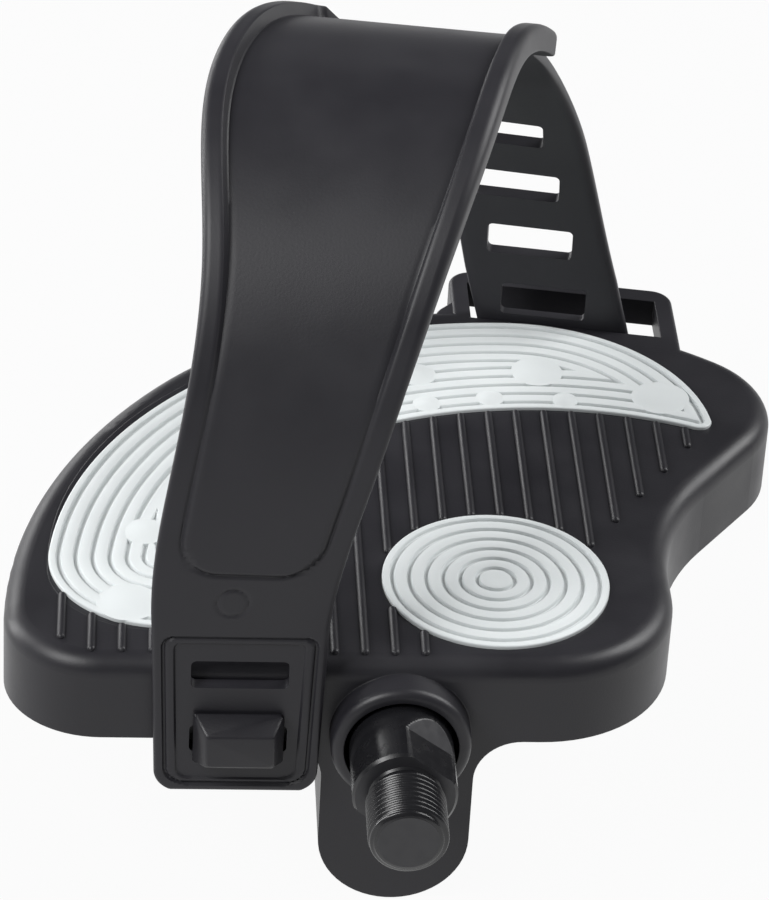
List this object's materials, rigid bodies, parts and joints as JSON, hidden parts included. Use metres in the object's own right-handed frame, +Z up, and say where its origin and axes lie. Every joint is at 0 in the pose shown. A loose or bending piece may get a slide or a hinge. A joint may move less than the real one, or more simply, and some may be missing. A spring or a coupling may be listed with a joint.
{
  "type": "exercise bike platform pedal",
  "caption": "Right-hand exercise-bike platform pedal with pale grooved tread pads, a hooked rubber foot strap, a weighted keel and a threaded spindle.",
  "frame": {"origin": "on the spindle's axis, at the shoulder that seats on the crank", "axes": "+X towards the heel, +Y along the spindle away from the crank, +Z up through the tread"},
  "size_m": [0.1456, 0.1657, 0.1485],
  "materials": {
    "black_plastic": "satin moulded",
    "pale_pad": "satin",
    "strap_rubber": "smooth satin",
    "black_steel": "black oxide",
    "seal_rubber": "matt",
    "bush_plastic": "matt",
    "bearing_steel": "ground",
    "cage_plastic": "matt",
    "zinc_steel": "zinc plated",
    "weight_iron": "cast"
  },
  "bodies": {
    "spindle": {"spindle": "black_steel", "bearing_inner_ring": "bearing_steel", "lock_washer": "zinc_steel", "lock_nut": "zinc_steel"},
    "platform": {"pedal_body": "black_plastic", "crescent_pad": "pale_pad", "round_pad": "pale_pad", "strap": "strap_rubber", "inboard_seal": "seal_rubber", "inboard_bush": "bush_plastic", "bearing_outer_ring": "bearing_steel", "bearing_shield_inboard": "bearing_steel", "bearing_shield_outboard": "bearing_steel", "dust_cap": "black_plastic", "counterweight": "weight_iron", "counterweight_cover": "black_plastic", "cover_screws": "zinc_steel"},
    "ball_train": {"bearing_balls": "bearing_steel", "bearing_cage": "cage_plastic"}
  },
  "joints": [
    {"name": "platform_spin", "type": "hinge", "parent": "spindle", "child": "platform", "pos_m": [0, 0.07, 0], "axis": [0, 1, 0], "continuous": true},
    {"name": "cage_spin", "type": "hinge", "parent": "spindle", "child": "ball_train", "pos_m": [0, 0.1205, 0], "axis": [0, 1, 0], "continuous": true}
  ],
  "couplings": [
    {"joint": "cage_spin", "follows": "platform_spin", "ratio": 0.5897}
  ]
}
